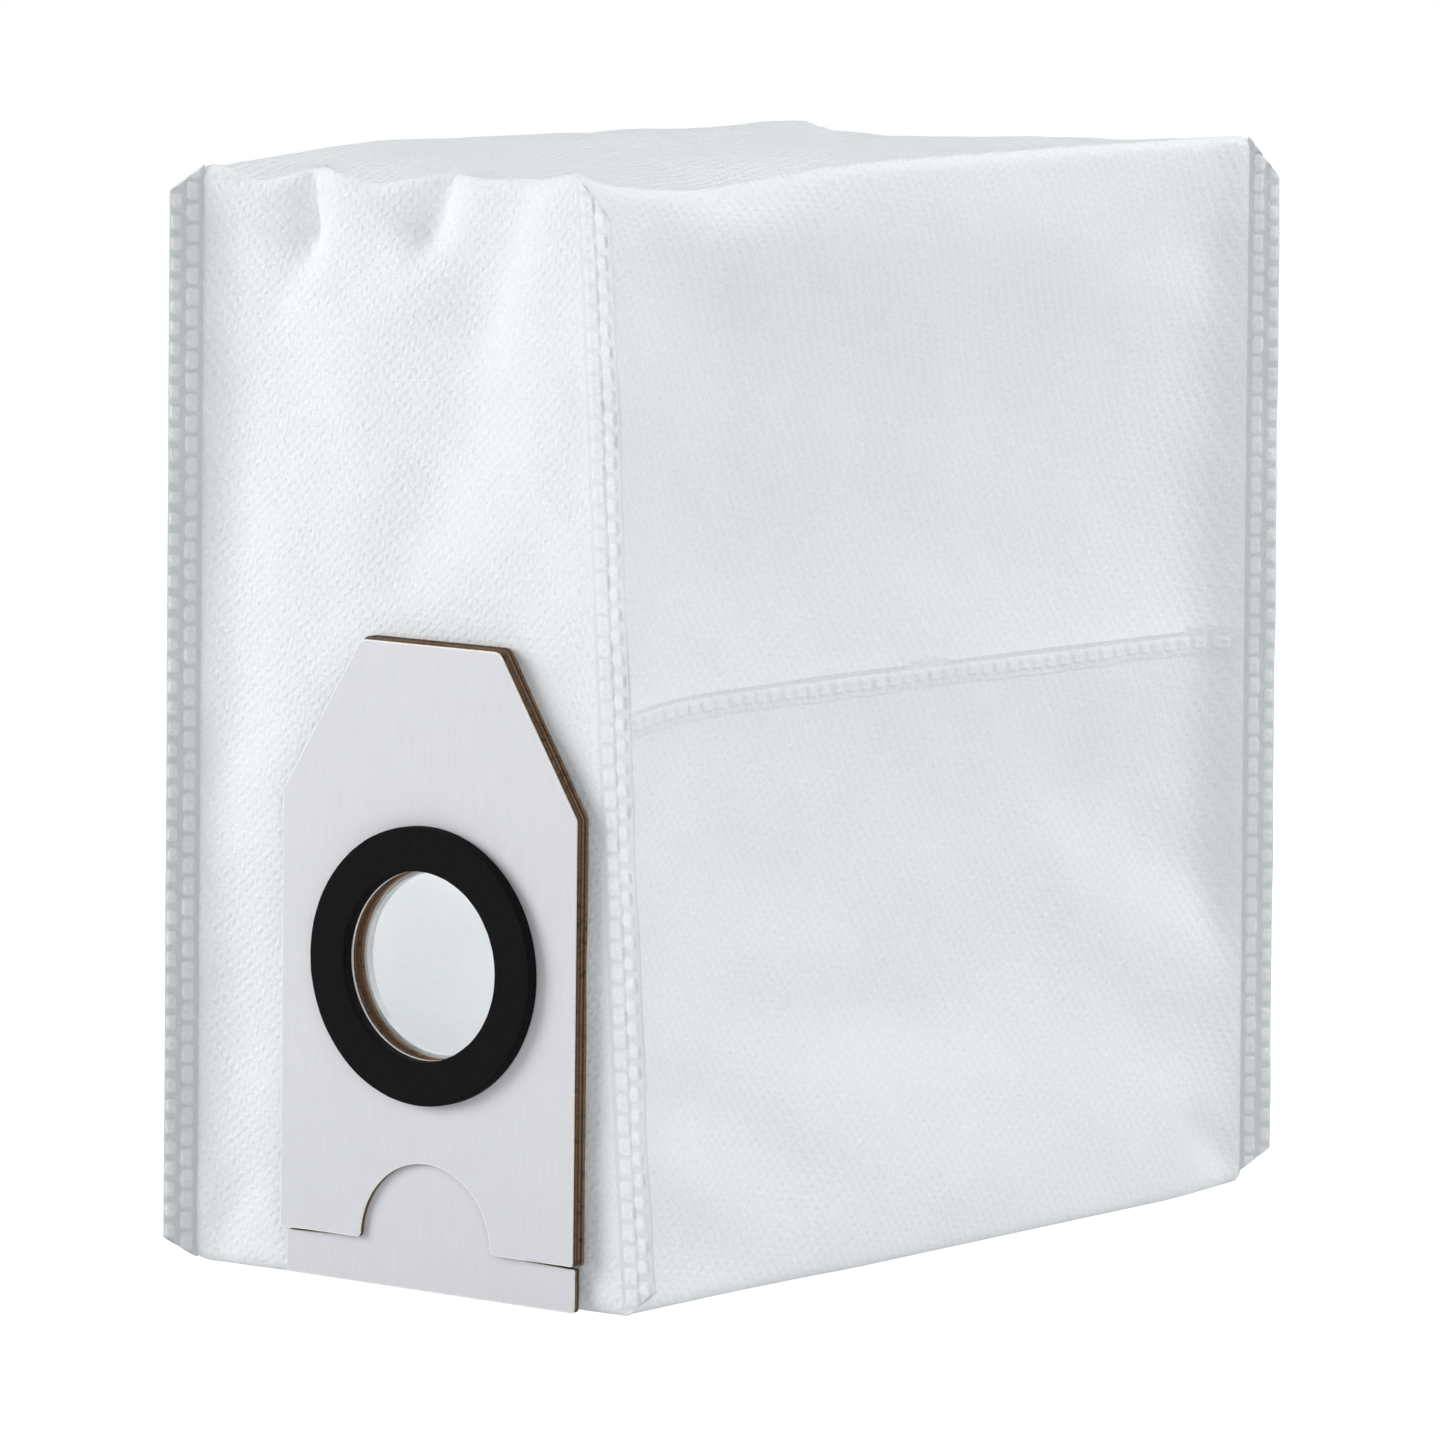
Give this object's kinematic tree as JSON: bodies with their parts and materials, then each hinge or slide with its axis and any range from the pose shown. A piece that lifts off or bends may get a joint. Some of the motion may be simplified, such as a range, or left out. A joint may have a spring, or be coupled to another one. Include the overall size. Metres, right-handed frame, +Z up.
{
  "type": "vacuum dust bag",
  "caption": "Boxed fleece dust bag with welded corner fins and a cardboard collar that holds a foam gasket and a sliding inlet closure.",
  "frame": {"origin": "middle of the bag's base, on the surface it stands on", "axes": "+Z up, -Y out of the inlet through the collar, +X to the right seen from the front"},
  "size_m": [0.1298, 0.239, 0.2385],
  "materials": {
    "white_fleece": "satin",
    "white_lined_card": "matte",
    "brown_card": "matte",
    "black_foam": "matte"
  },
  "bodies": {
    "root": {"fleece_bag": "white_fleece", "collar_back_board": "brown_card", "collar_spacer_frame": "brown_card", "collar_front_board": "white_lined_card", "foam_gasket": "black_foam"},
    "slide": {"closing_slide": "white_lined_card"}
  },
  "joints": [
    {"name": "slide_travel", "type": "slide", "parent": "root", "child": "slide", "axis": [0, 0, -1], "range_m": [0, 0.043]}
  ]
}
